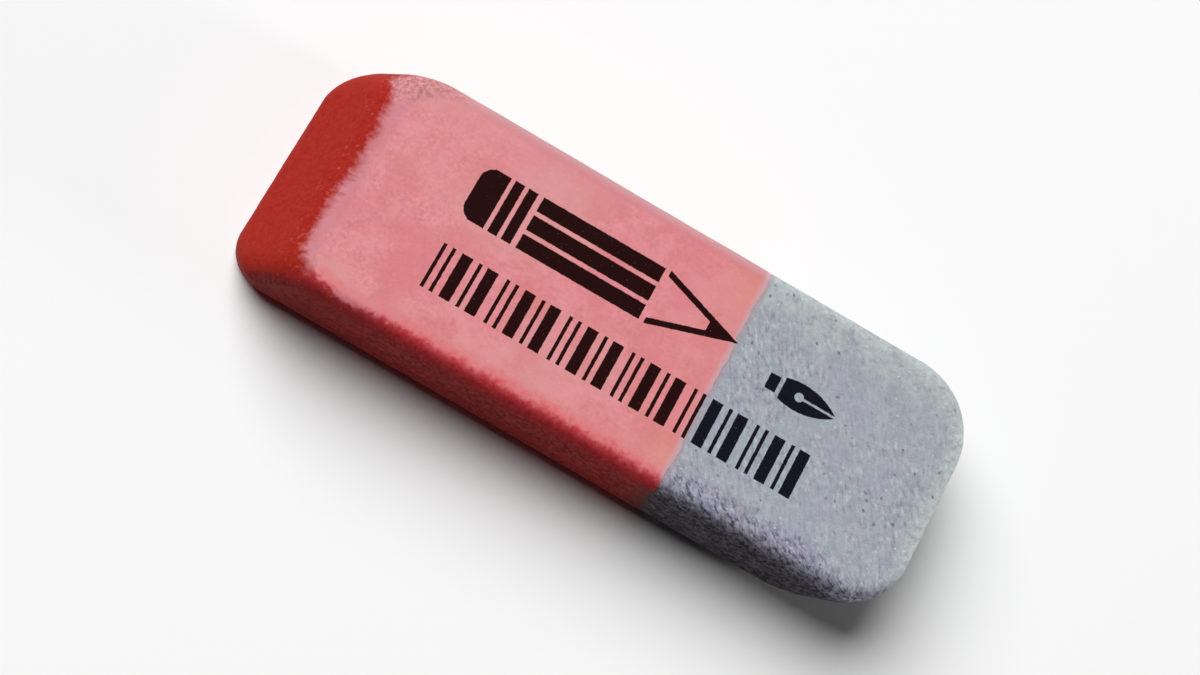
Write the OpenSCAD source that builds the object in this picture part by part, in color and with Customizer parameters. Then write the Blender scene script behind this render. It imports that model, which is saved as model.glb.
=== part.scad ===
// Two-part rubber eraser: one flat slanted block, made of two rubbers that
// were cured together face to face. The longer, red part rubs out pencil.
// The shorter, blue-grey part is gritty and rubs out ink.
// X runs along the length, Y across the width, Z up. The origin is under the
// middle of the block, on the surface that it lies on.

/* [Block] */
// Overall length
block_len = 52; // [44:0.5:62]
// Width
block_w = 18.9; // [16:0.1:26]
// Thickness
block_t = 7.5; // [6.6:0.1:11]
// How far the top lies towards +X of the bottom, which slants both ends
end_lean = 5.3; // [0:0.1:8]

/* [Rubbers] */
// Where the two rubbers meet, from the middle of the length
seam_x = 8; // [-8:0.1:10]

/* [Rounding] */
// Corner radius seen from above, red end, front
corner_red_front = 3.4; // [2.4:0.1:6]
// Corner radius seen from above, red end, back
corner_red_back = 3.4; // [2.4:0.1:6]
// Corner radius seen from above, grey end, front
corner_grey_front = 4; // [2.4:0.1:6]
// Corner radius seen from above, grey end, back
corner_grey_back = 5.6; // [2.4:0.1:6]
// How far the rounding of the top edge reaches in
top_round = 1.5; // [0.6:0.1:1.8]
// How far the rounding of the bottom edge reaches in
bottom_round = 1.3; // [0.6:0.1:1.8]
// Height of the edge rounding for each millimetre that it reaches in
round_rise = 1.6; // [1:0.1:1.8]

/* [Hidden] */
$fn = 64;

// The block is drawn upright and flattened by round_rise, with round edges,
// then stretched back and slanted. That turns the round edges into the long,
// worn edges of a tumbled block. It comes out thicker by skim on each big
// face, and the cut that parts the rubbers takes that off and leaves them flat.
skim = 0.02;
flat_t = (block_t + 2 * skim) / round_rise;
slant = end_lean / block_t;
edge = max(top_round, bottom_round);

// The slant and the rounding together take a little off each end's tip
function tip_loss(r) =
    let (rise = slant * r * round_rise)
    rise + r - sqrt(rise * rise + r * r);

// Ends of the block at its underside, before rounding
x_low = -block_len / 2 - tip_loss(bottom_round) + slant * skim;
x_high = block_len / 2 + tip_loss(top_round) - slant * skim - end_lean;
half_w = block_w / 2;

// What a rounding of radius r takes off a corner that points to +X and +Y
module rounded_off(r) {
    difference() {
        square(r + 1);
        circle(r);
    }
}

// Rounded rim of the block, seen from its end: reach is its straight part
module rim(reach) {
    difference() {
        square([reach + edge, flat_t]);
        translate([reach + edge - top_round, flat_t - top_round])
            rounded_off(top_round);
        translate([reach + edge - bottom_round, bottom_round])
            mirror([0, 1, 0]) rounded_off(bottom_round);
    }
}

// Round corner of plan radius r about its own axis, over a quarter turn
module corner(x, y, r, turn) {
    translate([x, y, 0]) rotate([0, 0, turn])
        rotate_extrude(angle = 90) rim(r - edge);
}

// Straight stretch of rim from one corner to the next
module side(x, y, long, turn) {
    translate([x, y, 0]) rotate([0, 0, turn]) rotate([90, 0, 0])
        linear_extrude(height = long) rim(0);
}

// Upright block with round edges and no slant
module upright_block() {
    rf = corner_red_front;
    rb = corner_red_back;
    gf = corner_grey_front;
    gb = corner_grey_back;
    // Middle: all that lies inside the rims and the four corners
    linear_extrude(height = flat_t) polygon([
        [x_low + edge, -half_w + rf], [x_low + rf, -half_w + rf],
        [x_low + rf, -half_w + edge], [x_high - gf, -half_w + edge],
        [x_high - gf, -half_w + gf], [x_high - edge, -half_w + gf],
        [x_high - edge, half_w - gb], [x_high - gb, half_w - gb],
        [x_high - gb, half_w - edge], [x_low + rb, half_w - edge],
        [x_low + rb, half_w - rb], [x_low + edge, half_w - rb]
    ]);
    corner(x_low + rf, -half_w + rf, rf, 180);
    corner(x_high - gf, -half_w + gf, gf, 270);
    corner(x_high - gb, half_w - gb, gb, 0);
    corner(x_low + rb, half_w - rb, rb, 90);
    // Red end, front, grey end, back
    side(x_low + edge, -half_w + rf, block_w - rf - rb, 180);
    side(x_high - gf, -half_w + edge, x_high - x_low - rf - gf, 270);
    side(x_high - edge, half_w - gb, block_w - gf - gb, 0);
    side(x_low + rb, half_w - edge, x_high - x_low - rb - gb, 90);
}

// Whole eraser, before it is skimmed and parted at the seam
module block() {
    multmatrix([
        [1, 0, slant * round_rise, -slant * skim],
        [0, 1, 0, 0],
        [0, 0, round_rise, -skim],
        [0, 0, 0, 1]
    ]) upright_block();
}

// Everything on one side of the seam, between the two big faces
module beyond_seam(towards) {
    translate([towards > 0 ? seam_x : seam_x - block_len, -block_w, 0])
        cube([block_len, 2 * block_w, block_t]);
}

module pencil_rubber() {
    color([0.80, 0.42, 0.42])
        intersection() { block(); beyond_seam(-1); }
}

module ink_rubber() {
    color([0.60, 0.63, 0.68])
        intersection() { block(); beyond_seam(1); }
}

pencil_rubber();
ink_rubber();
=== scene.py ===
"""Two-part bevelled rubber eraser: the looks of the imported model.

Two closed meshes stand for the two CAD nodes. Each is a fine quad lattice wrapped round the block's own shape, with its
worn edges and grain in the mesh, and a procedural material: bare rubber on the ends and sides, a chalky powder bloom
rubbed into the big faces, and plain pictograms printed on the top."""
import math

import bpy
import numpy as np
from mathutils import Matrix, Vector


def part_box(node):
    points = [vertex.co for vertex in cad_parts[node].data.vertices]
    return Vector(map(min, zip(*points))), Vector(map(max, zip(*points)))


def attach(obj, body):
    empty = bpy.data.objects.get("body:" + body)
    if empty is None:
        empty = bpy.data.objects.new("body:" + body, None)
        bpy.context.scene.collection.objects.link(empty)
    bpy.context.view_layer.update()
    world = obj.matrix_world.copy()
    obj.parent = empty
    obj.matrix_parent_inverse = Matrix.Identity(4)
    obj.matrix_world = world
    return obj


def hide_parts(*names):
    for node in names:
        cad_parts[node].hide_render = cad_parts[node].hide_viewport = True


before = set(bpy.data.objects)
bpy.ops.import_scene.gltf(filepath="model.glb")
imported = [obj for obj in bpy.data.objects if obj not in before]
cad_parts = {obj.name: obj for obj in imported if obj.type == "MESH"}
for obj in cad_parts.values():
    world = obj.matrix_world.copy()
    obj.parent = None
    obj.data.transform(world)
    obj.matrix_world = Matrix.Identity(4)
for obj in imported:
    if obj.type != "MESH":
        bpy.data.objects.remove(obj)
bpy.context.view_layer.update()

# ---------------------------------------------------------------- block, in millimetres, as the CAD model has it
(px0, py0, pz0), (px1, py1, pz1) = [[1000 * c for c in v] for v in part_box("pencil_rubber")]
(ix0, iy0, iz0), (ix1, iy1, iz1) = [[1000 * c for c in v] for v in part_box("ink_rubber")]
LENGTH = ix1 - px0
WIDTH = py1 - py0
THICK = pz1 - pz0
SEAM = px1
LEAN = 5.3
TOP_ROUND, BOTTOM_ROUND, RISE, SKIM = 1.5, 1.3, 1.6, 0.02
# How square each rounding is, where 2 is an ellipse, and how far the back leans in towards its top
TOP_POWER, BOTTOM_POWER, BACK_LEAN = 2.8, 2.2, 0.17
# Corner radii in plan at each height: tumbling rounds the top and bottom of a corner more than its middle
HEIGHTS = [0.0, 0.9, 2.6, 5.2, 7.5]
RADII = {
    (True, False): [3.4, 3.4, 1.9, 1.9, 2.5],
    (True, True): [3.8, 3.9, 3.4, 3.4, 4.4],
    (False, False): [4.0, 4.0, 3.2, 3.2, 4.5],
    (False, True): [5.6, 5.6, 5.0, 4.9, 6.0],
}
SLANT = LEAN / THICK
HALF = WIDTH / 2


# ---------------------------------------------------------------- noise, the same in every run
def cell_hash(i, seed):
    with np.errstate(over="ignore"):
        h = (
            i[:, 0].astype(np.uint64) * np.uint64(0x9E3779B97F4A7C15)
            + i[:, 1].astype(np.uint64) * np.uint64(0xC2B2AE3D27D4EB4F)
            + i[:, 2].astype(np.uint64) * np.uint64(0x165667B19E3779F9)
            + np.uint64(seed * 7919 + 17)
        )
        h ^= h >> np.uint64(29)
        h *= np.uint64(0xBF58476D1CE4E5B9)
        h ^= h >> np.uint64(32)
        h *= np.uint64(0x94D049BB133111EB)
        h ^= h >> np.uint64(31)
    return (h >> np.uint64(11)).astype(float) / float(1 << 53)


def noise(p, size, seed):
    """Smooth noise from 0 to 1, with lumps about size mm across."""
    q = np.asarray(p, float) / size + 1000.0
    i = np.floor(q).astype(np.int64)
    f = q - i
    f = f * f * f * (f * (f * 6 - 15) + 10)
    out = np.zeros(len(q))
    for dx in (0, 1):
        for dy in (0, 1):
            for dz in (0, 1):
                w = (
                    (f[:, 0] if dx else 1 - f[:, 0])
                    * (f[:, 1] if dy else 1 - f[:, 1])
                    * (f[:, 2] if dz else 1 - f[:, 2])
                )
                out += w * cell_hash(i + np.array([dx, dy, dz]), seed)
    return out


def fractal(p, size, seed, octaves=3, fall=0.5):
    total, weight, out = 0.0, 1.0, 0.0
    for o in range(octaves):
        out = out + weight * noise(p, size / 2**o, seed + 31 * o)
        total += weight
        weight *= fall
    return out / total


def smooth(x, a, b):
    t = np.clip((x - a) / (b - a), 0, 1)
    return t * t * (3 - 2 * t)


# ---------------------------------------------------------------- the block as a lattice
def rounding(r, power, n):
    """One rounded edge from the flat face to the side: heights below the face and how far in it is, evenly spaced."""
    v = r * RISE
    t = np.linspace(0, math.pi / 2, 4001)
    inset = r * (1 - np.cos(t) ** (2 / power))
    below = v * (1 - np.sin(t) ** (2 / power))
    keep = below >= SKIM
    inset, below = np.append(inset[keep], np.interp(SKIM, below[::-1], inset[::-1])), np.append(below[keep], SKIM)
    s = np.concatenate([[0], np.cumsum(np.hypot(np.diff(inset), np.diff(below)))])
    at = np.linspace(0, s[-1], n + 1)
    return np.interp(at, s, inset)[::-1], np.interp(at, s, below)[::-1] - SKIM


def levels(n_edge, n_side):
    """Heights from the underside to the top, with how far the rounding takes the side in at each."""
    inset, below = rounding(BOTTOM_ROUND, BOTTOM_POWER, n_edge)
    out = list(zip(below, inset))
    t_inset, t_below = rounding(TOP_ROUND, TOP_POWER, n_edge)
    low, high = below[-1], THICK - t_below[-1]
    out += [(low + (high - low) * k / n_side, 0.0) for k in range(1, n_side)]
    out += list(zip(THICK - t_below[::-1], t_inset[::-1]))
    return out


# Where the slanted ends would meet the table, so that their rounded tips just reach the ends of the block
TIPS = np.array(levels(40, 8))
X_LOW = px0 - (SLANT * TIPS[:, 0] + TIPS[:, 1]).min()
X_HIGH = ix1 - (SLANT * TIPS[:, 0] - TIPS[:, 1]).max()


def seam_wave(y, z):
    """How far the seam wanders from its plane: the two rubbers flow a little as they cure."""
    w = 0.075 * np.sin(0.9 * y + 0.6) + 0.05 * np.sin(2.3 * y + 1.1 * z + 1.9) + 0.025 * np.sin(5.1 * y - 0.7 * z)
    drop = np.clip((THICK - 1.6 - z) / THICK, 0, 1)
    lean = 0.50 * drop**1.3 * smooth(-y, 5.0, 9.0) + 0.5 * drop**1.3 * smooth(y, 5.0, 9.0)
    return w + lean


def line(a, b, n):
    t = np.linspace(0, 1, n + 1)[:, None]
    return np.asarray(a)[None] * (1 - t) + np.asarray(b)[None] * t


def arc(cx, cy, r, a, b, n):
    t = np.radians(np.linspace(a, b, n + 1))
    return np.stack([cx + r * np.cos(t), cy + r * np.sin(t)], 1)


def ring(red, z, ins, n_arc, n_long, n_wide):
    """One level of the block's outline: along the front, along the back, and across the end."""
    tip = (X_LOW if red else X_HIGH) + SLANT * z
    sx = -1 if red else 1
    rear = HALF - BACK_LEAN * z / THICK
    rf, rb = (float(np.interp(z, HEIGHTS, RADII[red, back])) for back in (False, True))
    cf, cb = (tip - sx * rf, -HALF + rf), (tip - sx * rb, rear - rb)
    a0, a_mid, a_end = (180, 225, 270) if red else (0, -45, -90)
    f = arc(*cf, rf - ins, a_mid, a_end, n_arc)
    f = np.concatenate([f, line(f[-1], (SEAM, -HALF + ins), n_long)[1:]])
    e1 = arc(*cf, rf - ins, a_mid, a0, n_arc)
    a_mid, a_end = (135, 90) if red else (45, 90)
    b = arc(*cb, rb - ins, a_mid, a_end, n_arc)
    b = np.concatenate([b, line(b[-1], (SEAM, rear - ins), n_long)[1:]])
    e3 = arc(*cb, rb - ins, a0, a_mid, n_arc)
    e = np.concatenate([e1, line(e1[-1], e3[0], n_wide)[1:], e3[1:]])
    return [np.column_stack([part, np.full(len(part), z)]) for part in (f, b, e)]


def build(red, n_arc, n_long, n_wide, n_edge, n_side):
    """One rubber as a closed box lattice: points, how far each is down the side from the nearer flat face (as a
    negative number), the plan place of its column there, the quads, and which of them are outside ones."""
    nx, ny, nz = n_arc + n_long, 2 * n_arc + n_wide, 2 * n_edge + n_side
    rings = [ring(red, z, ins, n_arc, n_long, n_wide) for z, ins in levels(n_edge, n_side)]
    front, back, end = (np.array([r[part] for r in rings]) for part in range(3))
    j = np.linspace(0, 1, ny + 1)[None, :, None]
    seam = front[:, -1:, :] * (1 - j) + back[:, -1:, :] * j

    def cap(k):
        u = np.linspace(0, 1, nx + 1)[:, None, None]
        v = np.linspace(0, 1, ny + 1)[None, :, None]
        F, B, E, S = front[k][:, None], back[k][:, None], end[k][None], seam[k][None]
        return (
            (1 - v) * F + v * B + (1 - u) * E + u * S
            - (1 - u) * (1 - v) * end[k][0] - (1 - u) * v * end[k][-1]
            - u * (1 - v) * seam[k][0] - u * v * seam[k][-1]
        )

    index = -np.ones((nx + 1, ny + 1, nz + 1), int)
    points, rim, foot = [], [], []

    def put(i, j, k, p, d, f):
        if index[i, j, k] < 0:
            index[i, j, k] = len(points)
            points.append(p)
            rim.append(d)
            foot.append(f)

    def run(column):
        """Distances along a column of points from its lowest and from its highest."""
        s = np.concatenate([[0], np.cumsum(np.linalg.norm(np.diff(column, axis=0), axis=1))])
        return np.minimum(s, s[-1] - s)

    for i in range(nx + 1):
        for y, col in ((0, front[:, i]), (ny, back[:, i])):
            d = run(col)
            for k in range(nz + 1):
                put(i, y, k, col[k], -d[k], col[-1 if k > nz / 2 else 0][:2])
    for y in range(ny + 1):
        col = end[:, y]
        d = run(col)
        for k in range(nz + 1):
            put(0, y, k, col[k], -d[k], col[-1 if k > nz / 2 else 0][:2])
    for k in (0, nz):
        c = cap(k)
        for i in range(nx + 1):
            for y in range(ny + 1):
                put(i, y, k, c[i, y], 0.0, c[i, y][:2])
    n_outer = len(points)
    for k in range(1, nz):
        for y in range(1, ny):
            put(nx, y, k, seam[k, y], 0.0, seam[k, y][:2])
    points, rim, foot = np.array(points), np.array(rim), np.array(foot)

    quads, outer = [], []

    def face(a, b, c, d, out, flip):
        q = (index[a], index[b], index[c], index[d])
        quads.append(q[::-1] if flip else q)
        outer.append(out)

    m = not red
    for i in range(nx):
        for y in range(ny):
            face((i, y, 0), (i, y + 1, 0), (i + 1, y + 1, 0), (i + 1, y, 0), True, m)
            face((i, y, nz), (i + 1, y, nz), (i + 1, y + 1, nz), (i, y + 1, nz), True, m)
        for k in range(nz):
            face((i, 0, k), (i + 1, 0, k), (i + 1, 0, k + 1), (i, 0, k + 1), True, m)
            face((i, ny, k), (i, ny, k + 1), (i + 1, ny, k + 1), (i + 1, ny, k), True, m)
    for y in range(ny):
        for k in range(nz):
            face((0, y, k), (0, y, k + 1), (0, y + 1, k + 1), (0, y + 1, k), True, m)
            face((nx, y, k), (nx, y + 1, k), (nx, y + 1, k + 1), (nx, y, k + 1), False, m)
    return points, rim, foot, np.array(quads), np.array(outer), n_outer


def flat_face(top):
    """The edge of the flat top or underside in plan, as close points with their running length from the seam at the
    back, by way of the red end."""
    pts = []
    for red in (True, False):
        f, b, e = ring(red, *levels(8, 4)[-1 if top else 0], 24, 200, 40)
        parts = [b[::-1], e[::-1], f] if red else [f[::-1], e, b]
        pts += [part[:, :2] for part in parts]
    pts = np.concatenate(pts)
    s = np.concatenate([[0], np.cumsum(np.linalg.norm(np.diff(pts, axis=0), axis=1))])
    at = np.linspace(0, s[-1], int(s[-1] / 0.04))
    return np.stack([np.interp(at, s, pts[:, 0]), np.interp(at, s, pts[:, 1])], 1), at


def to_edge(x, y, outline):
    """For plan points: how far each is from the outline, where along it the nearest place is, and how squarely the
    outline faces front or back there."""
    pts, at = outline
    far, where, facing = np.zeros(len(x)), np.zeros(len(x)), np.zeros(len(x))
    tangent = np.gradient(pts, axis=0)
    square = np.abs(tangent[:, 0]) / np.maximum(np.linalg.norm(tangent, axis=1), 1e-9)
    for k in range(0, len(x), 4000):
        d = (x[k : k + 4000, None] - pts[None, :, 0]) ** 2 + (y[k : k + 4000, None] - pts[None, :, 1]) ** 2
        n = d.argmin(1)
        far[k : k + 4000] = np.sqrt(d[np.arange(len(n)), n])
        where[k : k + 4000] = at[n]
        facing[k : k + 4000] = square[n]
    return far, where, facing


# Where the powder stops: a place on the flat face's edge, and how far inside that edge the limit lies (negative
# is down the side)
TOP_LIMITS = [
    (8.2, 8.9, -3.8), (-17.0, 8.9, -3.8), (-20.0, 8.8, -3.5), (-21.9, 8.1, -3.3), (-22.0, 7.5, -2.85), (-21.7, 6.8, -2.1),
    (-21.5, 6.3, -1.60), (-21.3, 5.2, -1.14), (-21.3, 4.1, -1.06), (-20.9, 3.1, -0.72), (-21.1, 2.2, -0.84),
    (-21.1, 1.1, -0.82), (-20.9, 0.0, -0.68), (-21.1, -0.9, -0.86), (-21.3, -1.9, -1.06), (-21.3, -4.9, -1.08),
    (-21.3, -6.4, -1.02), (-21.3, -7.0, -0.86), (-21.1, -7.5, -0.62), (-20.9, -8.0, -0.46), (-20.2, -8.4, -0.34),
    (-19.4, -8.5, -0.30), (-18.2, -8.8, -0.56), (-16.4, -8.9, -0.66), (-14.6, -8.9, -0.60), (-12.8, -8.7, -0.38),
    (-6.0, -8.6, -0.35), (1.0, -8.6, -0.30), (5.0, -8.6, -0.38), (7.6, -8.7, -0.55),
    (9.0, -8.8, -0.80), (16.0, -8.8, -0.80), (20.0, -8.8, -1.05), (23.6, -7.8, -1.8), (25.6, -4.0, -3.1),
    (25.6, 4.0, -3.6), (20.0, 8.8, -3.6),
]
BOTTOM_LIMITS = [
    (8.2, 8.2, -0.3), (-18.0, 8.2, -0.3), (-25.5, 0.0, -0.1), (-18.0, -8.2, -0.3), (8.2, -8.2, -0.3),
    (18.0, -8.2, -0.3), (20.0, 0.0, -0.2), (16.0, 8.2, -0.3),
]


def face_normals(p, q):
    a, b, c, d = (p[q[:, n]] for n in range(4))
    return np.cross(c - a, d - b)


def point_normals(p, q):
    f = face_normals(p, q)
    n = np.zeros_like(p)
    for s in range(4):
        for ax in range(3):
            n[:, ax] += np.bincount(q[:, s], f[:, ax], len(p))
    return n / np.maximum(np.linalg.norm(n, axis=1), 1e-12)[:, None]


def make_piece(name, red, **cells):
    p, rim, foot, quads, outer, n_outer = build(red, **cells)
    if (p[quads[:, 0]] * face_normals(p, quads)).sum() < 0:
        quads = quads[:, ::-1]
    nrm = point_normals(p, quads[outer])
    on_top = p[:, 2] > THICK - 1e-6
    on_bottom = p[:, 2] < 1e-6
    upper = p[:, 2] > THICK / 2
    along, limit, facing = np.zeros(len(p)), np.zeros(len(p)), np.zeros(len(p))
    for top, half, flat in ((True, upper, on_top), (False, ~upper, on_bottom)):
        outline = flat_face(top)
        far, along[half], facing[half] = to_edge(foot[half, 0], foot[half, 1], outline)
        rim[half] = np.where(flat[half] & (rim[half] == 0), far, rim[half])
        table = np.array(TOP_LIMITS if top else BOTTOM_LIMITS, float)
        at = to_edge(table[:, 0], table[:, 1], outline)[1]
        order = np.argsort(at)
        limit[half] = np.interp(along[half], at[order], table[order, 2], period=outline[1][-1])
    bloom = rim - limit

    # 1 on the long sides, 0 on the ends and most of the way round the corners; it switches in the long sides' colours,
    # which carry painted shade, so it also sets where that painted shade begins round each corner
    long_side = smooth(facing, 0.58, 0.97)

    # The seam wanders, and so do the rows of the lattice next to it
    pull = np.exp(-np.abs(p[:, 0] - SEAM) / 1.6)
    p[:, 0] += pull * seam_wave(p[:, 1], p[:, 2])

    # Wear, either side of the true surface, with the block's own box as its outer limit
    side = smooth(-rim, -0.2, 1.2)
    crest = np.exp(-(((rim + 0.6) / 0.8) ** 2))
    depth = -0.025 * side
    depth += side * 0.06 * fractal(p, 9.0, 11, 2)
    depth += crest * 0.02 * smooth(fractal(p, 1.5, 23, 3), 0.42, 0.8)
    if red:
        depth += 0.010 * fractal(p, 0.55, 37, 2)
        depth += side * 0.014 * fractal(p, 1.1, 41, 2)
    else:
        depth += 0.020 * fractal(p, 0.42, 53, 2)
        depth += 0.020 * fractal(p, 1.3, 59, 2)
        depth += crest * 0.025 * smooth(fractal(p, 0.5, 61, 2), 0.45, 0.75)
    # Little pits left by grit and by the tumbling
    rng = np.random.default_rng(7 if red else 8)
    outer_ids = np.arange(n_outer)
    for centre in rng.choice(outer_ids, 90 if red else 420, replace=False):
        r = rng.uniform(0.14, 0.30)
        deep = rng.uniform(0.02, 0.05) * (0.6 if red else 1.5)
        box = np.abs(p[:n_outer] - p[centre]).max(1) < r
        d = np.linalg.norm(p[:n_outer][box] - p[centre], axis=1) / r
        depth[:n_outer][box] += deep * np.clip(1 - d * d, 0, 1) ** 2
    # The two rubbers meet in a hair-thin groove
    depth += 0.035 * np.exp(-((np.abs(p[:, 0] - SEAM - seam_wave(p[:, 1], p[:, 2])) / 0.14) ** 2))
    depth[n_outer:] = 0
    depth *= np.where(on_bottom, 0.35, 1.0)
    p = p - nrm * depth[:, None]
    p = np.clip(p, (px0, py0, 0.0), (ix1, py1, THICK))

    mesh = bpy.data.meshes.new(name)
    mesh.from_pydata([tuple(v) for v in p / 1000.0], [], [tuple(map(int, f)) for f in quads])
    for key, values in (("bloom_edge", bloom), ("along", along), ("long_side", long_side), ("down_side", -rim)):
        a = mesh.attributes.new(key, "FLOAT", "POINT")
        a.data.foreach_set("value", values.astype(np.float32))
    mesh.polygons.foreach_set("use_smooth", np.ones(len(quads), bool))
    sharp = ~outer
    mesh.update()
    obj = bpy.data.objects.new(name, mesh)
    bpy.context.scene.collection.objects.link(obj)
    # The seam face is flat inside the block: its rim stays a true edge
    edges = set()
    seam_faces = quads[sharp]
    count = {}
    for q in seam_faces:
        for a, b in zip(q, np.roll(q, -1)):
            e = (min(a, b), max(a, b))
            count[e] = count.get(e, 0) + 1
    edges = {e for e, n in count.items() if n == 1}
    flags = np.zeros(len(mesh.edges), bool)
    ev = np.zeros(len(mesh.edges) * 2, int)
    mesh.edges.foreach_get("vertices", ev)
    ev = np.sort(ev.reshape(-1, 2), axis=1)
    flags[:] = [(int(a), int(b)) in edges for a, b in ev]
    sharp_edge = mesh.attributes.new("sharp_edge", "BOOLEAN", "EDGE")
    sharp_edge.data.foreach_set("value", flags)
    mesh.validate()
    return obj


# ---------------------------------------------------------------- materials
class Nodes:
    """Short names for building a material's nodes."""

    def __init__(self, name):
        self.material = bpy.data.materials.new(name)
        self.material.use_nodes = True
        self.tree = self.material.node_tree
        self.tree.nodes.clear()

    def add(self, kind, **settings):
        n = self.tree.nodes.new(kind)
        for k, v in settings.items():
            setattr(n, k, v)
        return n

    def put(self, socket, value):
        if isinstance(value, bpy.types.NodeSocket):
            self.tree.links.new(value, socket)
        else:
            socket.default_value = value

    def math(self, op, a, b=0.0, c=0.0, clamp=False):
        n = self.add("ShaderNodeMath", operation=op, use_clamp=clamp)
        self.put(n.inputs[0], a)
        self.put(n.inputs[1], b)
        if op in ("MULTIPLY_ADD", "SMOOTH_MIN", "SMOOTH_MAX", "COMPARE"):
            self.put(n.inputs[2], c)
        return n.outputs[0]

    def plus(self, a, b):
        return self.math("ADD", a, b)

    def minus(self, a, b):
        return self.math("SUBTRACT", a, b)

    def times(self, a, b):
        return self.math("MULTIPLY", a, b)

    def least(self, first, *rest):
        for r in rest:
            first = self.math("MINIMUM", first, r)
        return first

    def most(self, first, *rest):
        for r in rest:
            first = self.math("MAXIMUM", first, r)
        return first

    def size(self, a):
        return self.math("ABSOLUTE", a)

    def ramp(self, value, low, high):
        """0 below low, 1 above high, smooth between."""
        n = self.add("ShaderNodeMapRange", interpolation_type="SMOOTHSTEP")
        self.put(n.inputs["Value"], value)
        self.put(n.inputs["From Min"], low)
        self.put(n.inputs["From Max"], high)
        return n.outputs["Result"]

    def mix(self, share, a, b):
        n = self.add("ShaderNodeMix", data_type="RGBA")
        self.put(n.inputs["Factor"], share)
        for s, v in (("A", a), ("B", b)):
            sock = [i for i in n.inputs if i.name == s and i.type == "RGBA"][0]
            self.put(sock, (*v, 1.0) if isinstance(v, tuple) and len(v) == 3 else v)
        return [o for o in n.outputs if o.type == "RGBA"][0]

    def blend(self, share, a, b):
        """A number between a and b."""
        n = self.add("ShaderNodeMix", data_type="FLOAT")
        self.put(n.inputs[0], share)
        self.put(n.inputs[2], a)
        self.put(n.inputs[3], b)
        return n.outputs[0]

    def scaled(self, vector, by):
        n = self.add("ShaderNodeVectorMath", operation="MULTIPLY")
        self.put(n.inputs[0], vector)
        n.inputs[1].default_value = by
        return n.outputs[0]

    def noise(self, vector, scale, detail=2.0, rough=0.5):
        n = self.add("ShaderNodeTexNoise", noise_dimensions="3D")
        self.put(n.inputs["Vector"], vector)
        n.inputs["Scale"].default_value = scale
        n.inputs["Detail"].default_value = detail
        n.inputs["Roughness"].default_value = rough
        return n.outputs["Fac"] if "Fac" in n.outputs else n.outputs[0]

    def cells(self, vector, scale, randomness=1.0):
        n = self.add("ShaderNodeTexVoronoi", voronoi_dimensions="3D", feature="F1")
        self.put(n.inputs["Vector"], vector)
        n.inputs["Scale"].default_value = scale
        n.inputs["Randomness"].default_value = randomness
        return n.outputs["Distance"], n.outputs["Color"]

    def colours(self, value, low, high, stops):
        """A run of colours along a number, each stop given at its own value."""
        span = self.add("ShaderNodeMapRange")
        self.put(span.inputs["Value"], value)
        span.inputs["From Min"].default_value = low
        span.inputs["From Max"].default_value = high
        n = self.add("ShaderNodeValToRGB")
        n.color_ramp.interpolation = "LINEAR"
        e = n.color_ramp.elements
        while len(e) < len(stops):
            e.new(0.5)
        for item, (at, colour) in zip(e, stops):
            item.position = 0.0
        for k, (at, colour) in enumerate(stops):
            e[k].position = (at - low) / (high - low)
            e[k].color = (*colour, 1.0)
        self.tree.links.new(span.outputs["Result"], n.inputs[0])
        return n.outputs["Color"]

    def attribute(self, name):
        return self.add("ShaderNodeAttribute", attribute_type="GEOMETRY", attribute_name=name).outputs["Fac"]


def box_shape(g, x, y, cx, cy, hx, hy):
    """Signed distance outside an upright box, in mm."""
    return g.most(g.minus(g.size(g.minus(x, cx)), hx), g.minus(g.size(g.minus(y, cy)), hy))


def disc_shape(g, x, y, cx, cy, r):
    dx, dy = g.minus(x, cx), g.minus(y, cy)
    return g.minus(g.math("SQRT", g.plus(g.times(dx, dx), g.times(dy, dy))), r)


def cut(g, shape, hole):
    return g.most(shape, g.times(hole, -1.0))


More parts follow.
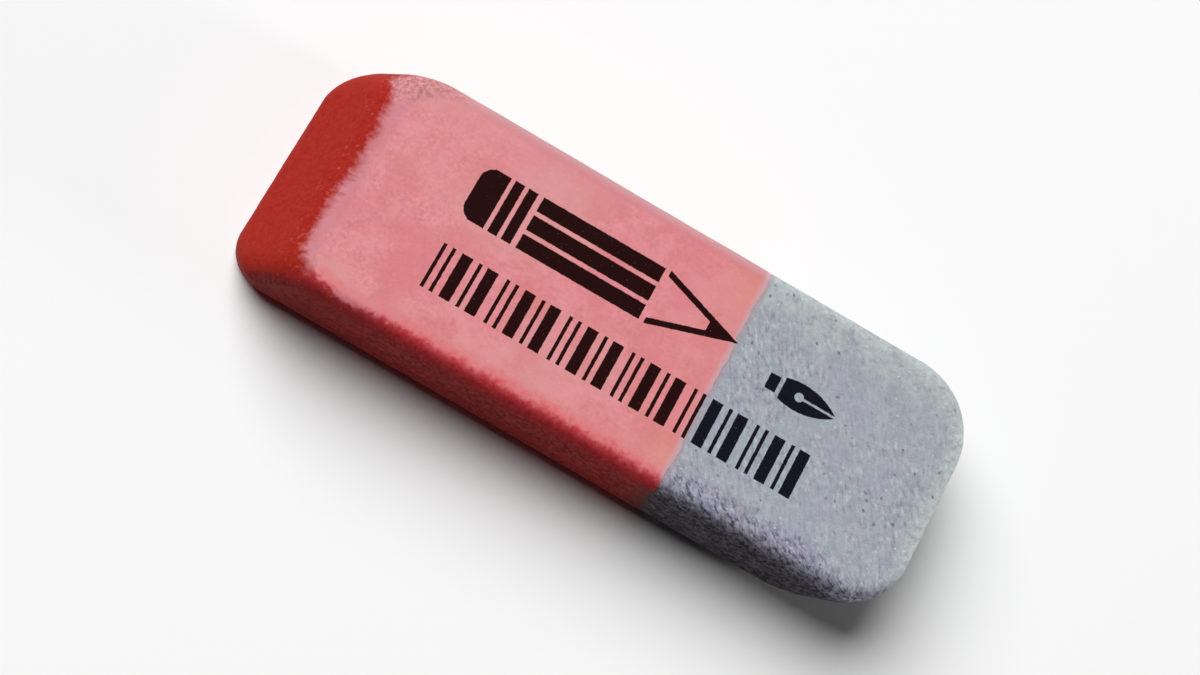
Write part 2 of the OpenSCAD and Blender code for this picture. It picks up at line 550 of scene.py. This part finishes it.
def printed(g, x, y, z, grain):
    """Share of ink, from the print's shapes: a pencil, a pen nib and a row of plain bars."""
    # Pencil, from its rubber tip at the left to its point at the right
    left, middle, tall = -13.3, 2.90, 2.16
    v = g.size(g.minus(y, middle))
    px = g.minus(x, left)
    tip = g.least(
        box_shape(g, px, v, 1.35, 0.0, 0.65, tall),
        g.most(disc_shape(g, px, v, 1.10, 1.06, 1.10), g.minus(px, 2.0)),
        box_shape(g, px, v, 1.0, 0.0, 1.0, 1.06),
    )
    bands = g.least(
        box_shape(g, px, v, 2.70, 0.0, 0.38, tall),
        box_shape(g, px, v, 3.78, 0.0, 0.38, tall),
    )
    body = g.least(
        box_shape(g, px, v, 9.55, 0.0, 4.95, 0.62),
        box_shape(g, px, v, 9.55, 1.56, 4.95, 0.60),
    )
    # Cone: half height falls from tall at 15.1 to nothing at 21.5
    run = 21.5 - 15.1
    slope = math.hypot(run, tall)
    cone = g.math("MULTIPLY_ADD", px, tall / slope, -21.5 * tall / slope)
    cone = g.plus(cone, g.times(v, run / slope))
    wood = g.most(cone, g.minus(14.9, px))
    hollow = g.most(g.plus(cone, 0.46), g.minus(px, 19.0), g.minus(14.3, px))
    point = cut(g, wood, hollow)
    pencil = g.least(tip, bands, body, point)
    # Pen nib, pointing right
    nx0, nmid = 11.2, 1.72
    nv = g.size(g.minus(y, nmid))
    nx = g.minus(x, nx0)
    r, off = 4.81, 3.76
    curve = disc_shape(g, nx, g.plus(nv, off), 2.55, 0.0, r)
    nib = g.most(curve, g.minus(1.15, nx))
    slit = g.most(g.minus(nv, 0.085), g.minus(2.7, nx))
    nib = cut(g, cut(g, nib, slit), disc_shape(g, nx, nv, 2.55, 0.0, 0.34))
    nib = g.least(nib, box_shape(g, nx, nv, 0.42, 0.0, 0.42, 0.62))
    # Bars: the same five again and again, like the edge of a ruler
    start, period, times = -13.1, 5.02, 6
    bx = g.minus(x, start)
    turn = g.math("FLOORED_MODULO", bx, period)
    bars = g.least(
        g.minus(g.size(g.minus(turn, 0.14)), 0.14),
        g.minus(g.size(g.minus(turn, 0.84)), 0.14),
        g.minus(g.size(g.minus(turn, 1.90)), 0.43),
        g.minus(g.size(g.minus(turn, 2.96)), 0.14),
        g.minus(g.size(g.minus(turn, 3.92)), 0.43),
    )
    long_bars = period * times - 0.6
    bars = g.most(bars, g.minus(g.size(g.minus(bx, long_bars / 2)), long_bars / 2), g.minus(g.size(g.plus(y, 3.36)), 1.80))
    shapes = g.least(pencil, nib, bars)
    ragged = g.plus(shapes, g.times(g.minus(grain, 0.5), 0.10))
    ink = g.ramp(ragged, 0.025, -0.025)
    return g.times(ink, g.math("GREATER_THAN", z, THICK - 0.6)), shapes


def lanes_of(g, along, edge, z, across, down):
    """A place on the surface told by how far along the edge and how far from it: streaks run square to the edge."""
    n = g.add("ShaderNodeCombineXYZ")
    g.put(n.inputs[0], g.times(along, across))
    g.put(n.inputs[1], g.times(edge, down))
    g.put(n.inputs[2], g.times(z, 0.3))
    return n.outputs[0]


def strokes(g, x, y, z, degrees, across, down):
    """A place in a frame turned about the upright, so that noise in it lies in short strokes."""
    c, s = math.cos(math.radians(degrees)), math.sin(math.radians(degrees))
    n = g.add("ShaderNodeCombineXYZ")
    g.put(n.inputs[0], g.times(g.plus(g.times(x, c), g.times(y, s)), down))
    g.put(n.inputs[1], g.times(g.minus(g.times(y, c), g.times(x, s)), across))
    g.put(n.inputs[2], g.times(z, across))
    return n.outputs[0]


def rubber(name, red):
    g = Nodes(name)
    coords = g.add("ShaderNodeTexCoord").outputs["Object"]
    mm = g.scaled(coords, (1000.0, 1000.0, 1000.0))
    split = g.add("ShaderNodeSeparateXYZ")
    g.put(split.inputs[0], mm)
    x, y, z = split.outputs
    edge = g.attribute("bloom_edge")
    along = g.attribute("along")
    long_side = g.attribute("long_side")
    down = g.attribute("down_side")

    fine = g.noise(mm, 8.0, 2.0, 0.6)
    grain = g.noise(mm, 3.2, 3.0, 0.62)
    patch = g.noise(mm, 0.95, 5.0, 0.62)
    mottle = g.noise(mm, 0.50, 4.0, 0.6)
    broad = g.noise(mm, 0.30, 2.0, 0.5)
    veil = g.noise(mm, 0.11, 1.0, 0.5)
    wave = g.noise(mm, 0.75, 1.0, 0.5)
    streak = g.noise(lanes_of(g, along, edge, z, 3.0, 1.0), 1.0, 3.0, 0.6)

    if red:
        # How far inside the powdered area a point lies, in mm, with a soft and slightly torn edge
        tufts = g.noise(lanes_of(g, along, edge, z, 1.5, 0.5), 1.0, 1.0, 0.5)
        fuzz = g.plus(g.times(g.minus(grain, 0.5), 0.75), g.times(g.minus(wave, 0.5), 0.45))
        fluff = g.noise(mm, 2.1, 2.0, 0.6)
        jitter = g.times(g.minus(streak, 0.5), g.blend(g.ramp(tufts, 0.35, 0.65), 0.7, 1.7))
        jitter = g.blend(long_side, jitter, g.times(g.minus(fluff, 0.5), 1.5))
        jitter = g.plus(jitter, fuzz)
        reach = g.plus(edge, jitter)
        end_share = g.ramp(reach, -0.62, 0.74)

        # Powdered rubber: fairly even in lightness, less so in how much of the red comes through
        powder = g.mix(g.ramp(mottle, 0.34, 0.66), (0.696, 0.232, 0.246), (0.720, 0.268, 0.286))
        powder = g.mix(g.times(g.ramp(patch, 0.48, 0.68), 0.55), powder, (0.805, 0.306, 0.328))
        powder = g.mix(g.times(g.ramp(patch, 0.52, 0.32), 0.55), powder, (0.608, 0.202, 0.222))
        lively = g.blend(g.ramp(x, -11.0, -14.5), 0.60, 0.88)
        powder = g.mix(g.times(g.times(g.ramp(grain, 0.46, 0.66), 0.55), lively), powder, (0.850, 0.312, 0.334))
        powder = g.mix(g.times(g.times(g.ramp(grain, 0.50, 0.32), 0.50), lively), powder, (0.560, 0.190, 0.210))
        # Wide, faint fields: rosier, dustier and more coral
        powder = g.mix(g.times(g.ramp(veil, 0.50, 0.64), 0.62), powder, (0.684, 0.212, 0.246))
        powder = g.mix(g.times(g.ramp(veil, 0.48, 0.34), 0.62), powder, (0.694, 0.312, 0.308))
        powder = g.mix(g.times(g.ramp(broad, 0.51, 0.64), 0.50), powder, (0.670, 0.214, 0.226))
        powder = g.mix(g.times(g.ramp(broad, 0.48, 0.36), 0.50), powder, (0.745, 0.306, 0.322))
        powder = g.mix(g.times(g.times(g.ramp(y, 4.6, 7.4), g.ramp(x, -2.0, -12.0)), 0.50), powder, (0.712, 0.304, 0.316))
        powder = g.mix(g.times(g.ramp(x, 1.0, 7.5), 0.42), powder, (0.700, 0.230, 0.228))
        warm = g.times(g.ramp(x, 4.5, 7.6), g.ramp(g.size(y), 4.0, 7.0))
        powder = g.mix(g.times(warm, 0.50), powder, (0.700, 0.262, 0.222))
        sand = g.times(g.ramp(y, -5.6, -7.6), g.ramp(mottle, 0.44, 0.60))
        powder = g.mix(g.times(sand, 0.45), powder, (0.700, 0.312, 0.268))
        # Lilac where the chalk is thickest, along the left crest
        thick = g.times(g.ramp(edge, 2.6, 0.5), g.ramp(x, -15.0, -19.5))
        hairs = g.noise(strokes(g, x, y, z, -59.0, 4.6, 1.7), 1.0, 2.0, 0.6)
        powder = g.mix(g.times(g.times(thick, g.ramp(patch, 0.40, 0.62)), 0.40), powder, (0.640, 0.262, 0.330))
        powder = g.mix(g.times(g.times(thick, g.ramp(hairs, 0.52, 0.68)), 0.32), powder, (0.690, 0.340, 0.415))
        powder = g.mix(g.times(g.times(thick, g.ramp(hairs, 0.48, 0.34)), 0.25), powder, (0.560, 0.180, 0.200))
        # Painted shade: darker and duller along the crest edges at the left and the back, which face the lamp and would
        # otherwise come out lighter than the top
        crest_painted_shade = g.most(g.ramp(y, 6.6, 8.0), g.times(g.ramp(x, -17.2, -18.6), g.ramp(y, -8.7, -7.7)))
        # worn is how far down the side, made ragged with noise: it places this painted shade, and the dust and grit at
        # the corner below
        worn = g.plus(down, g.times(g.minus(patch, 0.5), 0.8))
        crest_painted_shade = g.times(crest_painted_shade, g.times(g.ramp(worn, -0.50, 0.45), g.ramp(worn, 2.2, 1.0)))
        powder = g.mix(crest_painted_shade, powder, g.mix(g.ramp(patch, 0.40, 0.60), (0.575, 0.214, 0.238), (0.580, 0.226, 0.262)))
        # Painted shade, greyer, along the very back edge
        back_rim_painted_shade = g.times(g.ramp(y, 8.10, 8.70), g.ramp(worn, 2.0, 0.9))
        powder = g.mix(g.times(back_rim_painted_shade, 0.75), powder, (0.520, 0.290, 0.302))
        # Dusty and gritty round the corner at the back left
        corner = g.times(g.ramp(x, -14.0, -17.5), g.ramp(g.plus(y, g.times(g.minus(patch, 0.5), 2.0)), 5.0, 7.2))
        powder = g.mix(g.times(g.times(corner, g.ramp(worn, -1.4, -0.2)), 0.30), powder, (0.730, 0.345, 0.350))
        grit_at = g.times(g.times(corner, g.ramp(worn, -0.6, 0.5)), g.ramp(x, -15.0, -19.6))
        powder = g.mix(g.times(grit_at, 0.80), powder, g.mix(g.ramp(grain, 0.38, 0.62), (0.345, 0.118, 0.126), (0.570, 0.256, 0.268)))
        # A few orange crumbs
        crumb_at = g.plus(g.noise(mm, 2.7, 2.0, 0.5), g.times(g.ramp(x, -6.0, -18.0), 0.02))
        crumb_at = g.plus(crumb_at, g.times(g.minus(wave, 0.5), 0.22))
        powder = g.mix(g.times(g.ramp(crumb_at, 0.67, 0.78), 0.50), powder, (0.780, 0.345, 0.285))

        # Bare rubber: clear red on the ends; darker and duller on both long sides, where the darkening is painted shade
        bare_end = g.mix(g.ramp(patch, 0.35, 0.65), (0.316, 0.0122, 0.0058), (0.344, 0.0156, 0.0078))
        bare_end = g.mix(g.times(g.ramp(y, -3.0, -8.5), 0.60), bare_end, (0.315, 0.0175, 0.0048))
        bare_end = g.mix(g.times(g.ramp(grain, 0.49, 0.58), 0.50), bare_end, (0.362, 0.0235, 0.0165))
        bare_end = g.mix(g.times(g.ramp(grain, 0.48, 0.38), 0.50), bare_end, (0.284, 0.0080, 0.0038))
        bare_side_painted_shade = g.mix(g.ramp(patch, 0.35, 0.65), (0.258, 0.0108, 0.0130), (0.284, 0.0136, 0.0155))
        # Painted shade: darker still towards the left corner of the long side, which the lamp from the left would
        # otherwise light more
        bare_side_painted_shade = g.mix(g.times(g.ramp(x, -16.5, -19.5), 0.80), bare_side_painted_shade, (0.205, 0.0125, 0.0110))
        bare_side_painted_shade = g.mix(g.times(g.ramp(mottle, 0.50, 0.62), 0.50), bare_side_painted_shade, (0.215, 0.0270, 0.0160))
        bare_side_painted_shade = g.mix(g.times(g.ramp(broad, 0.50, 0.62), 0.30), bare_side_painted_shade, (0.335, 0.0210, 0.0210))
        bare_side_painted_shade = g.mix(g.times(g.ramp(broad, 0.50, 0.38), 0.25), bare_side_painted_shade, (0.205, 0.0090, 0.0100))
        coarse = g.noise(mm, 2.9, 5.0, 0.70)
        light = g.blend(g.ramp(x, -12.5, -16.5), 0.80, 0.40)
        bare_side_painted_shade = g.mix(g.times(g.ramp(coarse, 0.50, 0.60), light), bare_side_painted_shade, (0.360, 0.0400, 0.0400))
        bare_side_painted_shade = g.mix(g.times(g.ramp(coarse, 0.49, 0.40), 0.85), bare_side_painted_shade, (0.145, 0.0040, 0.0050))
        # The back side and the end stand in the light, where the same grain looks calmer
        bare_side_painted_shade = g.mix(g.times(g.ramp(y, -5.0, 5.0), 0.50), bare_side_painted_shade, (0.258, 0.0140, 0.0145))
        specks = g.times(g.ramp(g.noise(mm, 2.2, 3.0, 0.60), 0.585, 0.70), g.ramp(z, 2.4, 4.4))
        near = g.ramp(g.plus(edge, g.times(g.minus(patch, 0.5), 5.0)), -3.4, -0.4)
        bare_end = g.mix(g.times(g.times(specks, near), 0.55), bare_end, (0.500, 0.098, 0.058))

        # The front crest, in painted light and shade: a crimson band kept lighter than the bare rubber where the powder
        # thins out and the crest turns away from the lamp, then darkening down the side into the long side's painted
        # shade, with a woolly edge
        crest_at = g.plus(edge, g.times(g.minus(streak, 0.5), 0.55))
        crest_at = g.plus(crest_at, g.times(g.minus(fluff, 0.5), 1.35))
        crest_at = g.plus(crest_at, g.times(g.minus(wave, 0.5), 0.45))
        crest = g.colours(crest_at, -2.5, 1.5, [
            (-2.50, (0.276, 0.0140, 0.0155)), (-1.90, (0.285, 0.0165, 0.0180)), (-1.20, (0.352, 0.022, 0.0235)),
            (-0.95, (0.385, 0.024, 0.0265)), (-0.68, (0.440, 0.024, 0.028)), (-0.42, (0.505, 0.032, 0.040)),
            (-0.16, (0.545, 0.042, 0.051)), (0.10, (0.560, 0.068, 0.081)), (0.35, (0.645, 0.128, 0.143)),
            (0.55, (0.705, 0.178, 0.193)), (0.76, (0.700, 0.205, 0.214)), (1.15, (0.705, 0.240, 0.248)),
            (1.50, (0.710, 0.252, 0.264)),
        ])
        low = g.ramp(crest_at, 0.1, -0.6)
        crest = g.mix(g.times(g.times(low, g.ramp(coarse, 0.50, 0.60)), 0.42), crest, (0.520, 0.0560, 0.0580))
        crest = g.mix(g.times(g.times(low, g.ramp(coarse, 0.49, 0.39)), 0.38), crest, (0.190, 0.0060, 0.0070))
        left = g.ramp(x, -11.5, -16.5)
        # Near the left corner, which the lamp lights, the painted crimson band gives way to darker red below and to
        # powder above
        crest = g.mix(g.times(g.times(left, g.ramp(crest_at, 0.45, -0.05)), 0.60), crest, (0.285, 0.0180, 0.0190))
        crest = g.mix(g.times(g.times(left, g.ramp(crest_at, 0.25, 0.65)), 0.70), crest, (0.700, 0.238, 0.248))
        side_colour_painted_light_and_shade = g.mix(g.ramp(crest_at, -1.1, -2.2), crest, bare_side_painted_shade)
        side_colour_painted_light_and_shade = g.mix(g.ramp(crest_at, 0.75, 1.6), side_colour_painted_light_and_shade, powder)
        gritty = g.times(g.times(specks, left), g.ramp(g.size(g.plus(crest_at, 0.2)), 1.3, 0.4))
        side_colour_painted_light_and_shade = g.mix(g.times(gritty, 0.60), side_colour_painted_light_and_shade, (0.500, 0.110, 0.065))
        # Coral, then smudged with the other rubber, next to the seam
        smudge = g.ramp(g.plus(x, g.times(g.minus(patch, 0.5), 1.6)), SEAM - 2.0, SEAM + 0.1)
        smudge = g.times(smudge, g.ramp(crest_at, -0.3, -1.3))
        side_colour_painted_light_and_shade = g.mix(g.times(smudge, 0.75), side_colour_painted_light_and_shade, (0.092, 0.036, 0.030))
        # Only the front crest lies in the shade that this run of colours is for
        side_colour_painted_light_and_shade = g.mix(g.ramp(y, -2.0, 2.0), side_colour_painted_light_and_shade, g.mix(end_share, bare_side_painted_shade, powder))
        end_colour = g.mix(end_share, bare_end, powder)
        colour = g.mix(long_side, end_colour, side_colour_painted_light_and_shade)
        bloom = g.blend(long_side, end_share, g.ramp(crest_at, -0.7, 0.6))

        # The pale hairline where the two rubbers meet
        beside = g.ramp(x, SEAM - 0.52, SEAM - 0.08)
        colour = g.mix(g.times(g.times(beside, g.ramp(edge, -0.2, 1.1)), 0.85), colour, (0.590, 0.372, 0.410))
        ink_colour = (0.0155, 0.0010, 0.0008)
        hole = None
    else:
        rough_streak = g.noise(strokes(g, x, y, z, -33.0, 3.6, 1.4), 1.0, 3.0, 0.62)
        jitter = g.times(g.minus(rough_streak, 0.5), 2.3)
        jitter = g.plus(jitter, g.times(g.minus(grain, 0.5), 0.9))
        jitter = g.plus(jitter, g.times(g.minus(wave, 0.5), 0.8))
        reach = g.plus(edge, jitter)
        bloom = g.ramp(reach, -0.80, 0.62)

        # Fine strokes and grains first, then the wide fields of lavender, blue and green over them
        flecks = g.noise(strokes(g, x, y, z, -59.0, 3.5, 1.6), 1.0, 3.0, 0.62)
        # Lavender and patchy near the front edge; smooth round the end, and paler there as painted light
        thin = g.times(g.ramp(edge, 2.9, 0.7), g.ramp(y, -4.8, -7.6))
        ragged_down = g.plus(down, g.times(g.minus(patch, 0.5), 1.2))
        ragged_down = g.plus(ragged_down, g.times(g.minus(flecks, 0.5), 0.9))
        tip = g.ramp(ragged_down, -1.15, -0.35)
        tip = g.times(tip, g.ramp(x, 18.5, 22.0))
        tip = g.times(tip, g.ramp(y, -8.0, -4.5))
        strength = g.times(g.blend(thin, 0.78, 0.85), g.blend(tip, 1.0, 0.60))
        powder = g.mix(g.ramp(hue_field(g, mm), 0.36, 0.64), (0.356, 0.360, 0.428), (0.356, 0.402, 0.440))
        powder = g.mix(g.times(g.ramp(flecks, 0.50, 0.72), strength), powder, (0.560, 0.585, 0.640))
        powder = g.mix(g.times(g.ramp(flecks, 0.50, 0.28), strength), powder, (0.185, 0.190, 0.240))
        powder = g.mix(g.times(g.ramp(patch, 0.50, 0.66), 0.45), powder, (0.450, 0.472, 0.515))
        powder = g.mix(g.times(g.ramp(patch, 0.50, 0.34), 0.45), powder, (0.270, 0.284, 0.340))
        powder = g.mix(g.times(g.ramp(veil, 0.42, 0.60), 0.35), powder, (0.398, 0.420, 0.462))
        powder = g.mix(g.times(g.ramp(broad, 0.52, 0.64), 0.38), powder, (0.326, 0.376, 0.414))
        powder = g.mix(g.times(g.ramp(broad, 0.48, 0.36), 0.40), powder, (0.350, 0.360, 0.446))
        uneven = g.ramp(y, 2.5, 6.0)
        powder = g.mix(g.times(g.times(uneven, g.ramp(mottle, 0.48, 0.60)), 0.40), powder, (0.300, 0.324, 0.352))
        powder = g.mix(g.times(g.times(uneven, g.ramp(mottle, 0.48, 0.36)), 0.40), powder, (0.474, 0.512, 0.512))
        far_edge = g.ramp(y, 4.5, 8.6)
        powder = g.mix(g.times(g.times(far_edge, g.ramp(patch, 0.30, 0.60)), 0.85), powder, (0.440, 0.492, 0.480))
        # Painted light: paler round the right end's crest, and much paler at its very edge, which turns away from the
        # lamp
        powder = g.mix(g.times(tip, 0.80), powder, (0.436, 0.478, 0.474))
        end_crest_painted_light = g.times(g.times(tip, g.ramp(down, -0.25, 0.75)), g.times(g.ramp(y, 7.2, 4.5), g.ramp(x, 22.8, 24.6)))
        end_crest_painted_light = g.times(end_crest_painted_light, g.ramp(g.plus(down, g.times(g.minus(patch, 0.5), 1.2)), 1.9, 1.1))
        powder = g.mix(g.times(end_crest_painted_light, 0.90), powder, (0.750, 0.795, 0.785))
        calm = g.most(g.times(tip, 0.8), g.times(far_edge, 0.6))
        powder = g.mix(g.times(g.times(calm, g.ramp(g.noise(mm, 2.9, 4.0, 0.66), 0.50, 0.66)), 0.55), powder, (0.590, 0.640, 0.640))
        powder = g.mix(g.times(g.times(calm, g.ramp(g.noise(mm, 2.9, 4.0, 0.66), 0.49, 0.34)), 0.55), powder, (0.250, 0.270, 0.300))
        powder = g.mix(g.times(thin, 0.60), powder, g.mix(g.ramp(flecks, 0.38, 0.62), (0.190, 0.160, 0.250), (0.390, 0.370, 0.470)))
        dabs = g.times(thin, g.ramp(rough_streak, 0.51, 0.35))
        powder = g.mix(g.times(dabs, 0.92), powder, (0.085, 0.068, 0.125))
        # Dark, ragged pits and pale grit
        far, pick = g.cells(mm, 0.80)
        chosen = g.ramp(pick_value(g, pick), 0.66, 0.92)
        ragged = g.plus(far, g.times(g.minus(grain, 0.5), 0.34))
        hole = g.times(g.times(g.ramp(ragged, 0.175, 0.02), chosen), 0.85)
        far3, pick3 = g.cells(strokes(g, x, y, z, -59.0, 1.7, 1.15), 1.0)
        nick = g.ramp(g.plus(far3, g.times(g.minus(grain, 0.5), 0.30)), 0.22, 0.05)
        nick = g.times(nick, g.ramp(pick_value(g, pick3), 0.66, 0.80))
        hole = g.most(hole, g.times(nick, 0.8))
        far2, pick2 = g.cells(mm, 1.7)
        chosen2 = g.math("GREATER_THAN", pick_value(g, pick2), 0.72)
        grit = g.times(g.ramp(far2, 0.22, 0.07), chosen2)
        powder = g.mix(g.times(hole, 0.80), powder, (0.085, 0.085, 0.110))
        powder = g.mix(g.times(grit, 0.55), powder, (0.600, 0.640, 0.660))
        gravel = g.noise(mm, 2.7, 4.0, 0.70)
        bare = g.mix(g.ramp(gravel, 0.41, 0.59), (0.020, 0.017, 0.024), (0.134, 0.118, 0.140))
        bare = g.mix(g.times(g.ramp(patch, 0.35, 0.65), 0.30), bare, (0.048, 0.044, 0.056))
        bare = g.mix(g.times(g.ramp(y, -5.0, 5.0), 0.55), bare, (0.064, 0.057, 0.070))
        bare = g.mix(g.times(g.ramp(x, SEAM + 1.1, SEAM + 0.1), 0.45), bare, (0.092, 0.056, 0.052))
        colour = g.mix(bloom, bare, powder)
        beside = g.ramp(x, SEAM + 0.50, SEAM + 0.12)
        colour = g.mix(g.times(g.times(beside, bloom), 0.75), colour, (0.372, 0.314, 0.345))
        ink_colour = (0.0040, 0.0050, 0.0110)

    ink, shapes = printed(g, x, y, z, grain)
    pinholes = g.ramp(fine, 0.30, 0.24)
    ink = g.times(ink, g.math("SUBTRACT", 1.0, g.times(pinholes, 0.6)))
    colour = g.mix(ink, colour, ink_colour)

    rough = g.blend(bloom, 0.70 if red else 0.78, 0.94)
    rough = g.plus(rough, g.times(g.minus(grain, 0.5), 0.14))
    rough = g.blend(ink, rough, 0.80)

    height = g.plus(g.times(fine, 0.5), g.times(grain, 1.0))
    height = g.plus(height, g.times(bloom, 0.30))
    if not red:
        height = g.plus(g.times(height, 1.2), g.times(hole, -1.6))
        height = g.plus(height, g.times(grit, 0.5))
        height = g.plus(height, g.times(g.times(rough_streak, thin), 1.6))
    bump = g.add("ShaderNodeBump")
    bump.inputs["Strength"].default_value = 0.6 if red else 0.7
    bump.inputs["Distance"].default_value = 0.00003 if red else 0.00006
    g.put(bump.inputs["Height"], height)

    shader = g.add("ShaderNodeBsdfPrincipled")
    g.put(shader.inputs["Base Color"], colour)
    g.put(shader.inputs["Roughness"], rough)
    g.put(shader.inputs["Normal"], bump.outputs["Normal"])
    shader.inputs["IOR"].default_value = 1.45
    shader.inputs["Specular IOR Level"].default_value = 0.10
    out = g.add("ShaderNodeOutputMaterial")
    g.tree.links.new(shader.outputs[0], out.inputs["Surface"])
    return g.material


def hue_field(g, mm):
    return g.noise(mm, 0.62, 3.0, 0.55)


def pick_value(g, colour):
    n = g.add("ShaderNodeSeparateColor")
    g.put(n.inputs[0], colour)
    return n.outputs[0]


# ---------------------------------------------------------------- pieces
red_piece = make_piece("red_pencil_rubber", True, n_arc=16, n_long=184, n_wide=78, n_edge=17, n_side=18)
grey_piece = make_piece("grey_ink_rubber", False, n_arc=26, n_long=104, n_wide=58, n_edge=17, n_side=18)
for piece, node, slot, red in (
    (red_piece, "pencil_rubber", "red_rubber", True),
    (grey_piece, "ink_rubber", "grey_rubber", False),
):
    piece.data.materials.append(rubber(piece.name + "_surface", red))
    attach(piece, "root")
    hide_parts(node)

# ---------------------------------------------------------------- stage
floor_mesh = bpy.data.meshes.new("floor")
s = 4.0
floor_mesh.from_pydata([(-s, -s, -2e-5), (s, -s, -2e-5), (s, s, -2e-5), (-s, s, -2e-5)], [], [(0, 1, 2, 3)])
floor = bpy.data.objects.new("floor", floor_mesh)
bpy.context.scene.collection.objects.link(floor)
pale = bpy.data.materials.new("pale_floor")
pale.use_nodes = True
pale.node_tree.nodes["Principled BSDF"].inputs["Base Color"].default_value = (0.94, 0.94, 0.94, 1)
pale.node_tree.nodes["Principled BSDF"].inputs["Roughness"].default_value = 0.9
pale.node_tree.nodes["Principled BSDF"].inputs["Specular IOR Level"].default_value = 0.1
floor_mesh.materials.append(pale)


def lamp(name, direction, distance, size, watts, colour=(1, 1, 1)):
    data = bpy.data.lights.new(name, "AREA")
    data.shape = "DISK"
    data.size = size
    data.energy = watts
    data.color = colour
    o = bpy.data.objects.new(name, data)
    d = np.array(direction, float)
    d /= np.linalg.norm(d)
    o.location = tuple(d * distance)
    o.rotation_euler = Vector(tuple(d)).to_track_quat("Z", "Y").to_euler()
    bpy.context.scene.collection.objects.link(o)
    return o


lamp("key", (-0.45, 0.45, 0.80), 2.0, 2.2, 62.0)
lamp("fill", (0.93, 0.10, 0.14), 2.0, 0.50, 14.0)
world = bpy.data.worlds.new("studio")
world.use_nodes = True
world.node_tree.nodes["Background"].inputs[0].default_value = (1, 1, 1, 1)
world.node_tree.nodes["Background"].inputs[1].default_value = 0.01
bpy.context.scene.world = world

# ---------------------------------------------------------------- camera
camera = bpy.data.objects.new("camera", bpy.data.cameras.new("camera"))
bpy.context.scene.collection.objects.link(camera)
bpy.context.scene.camera = camera
camera.data.sensor_width = 36.0
camera.data.lens = 74.22
camera.data.clip_start = 0.005
camera.data.clip_end = 50.0
right = np.array([0.863383, 0.458384, 0.210841])
down = np.array([0.501539, -0.825282, -0.259554])
ahead = np.array([0.055028, 0.329840, -0.942432])
turn = Matrix((right, -down, -ahead)).transposed().to_4x4()
camera.matrix_world = Matrix.Translation((-0.009936, -0.058360, 0.168945)) @ turn

view = bpy.context.scene.view_settings
view.view_transform = "Standard"
view.look = "None"
view.exposure = 0.0
view.gamma = 1.0
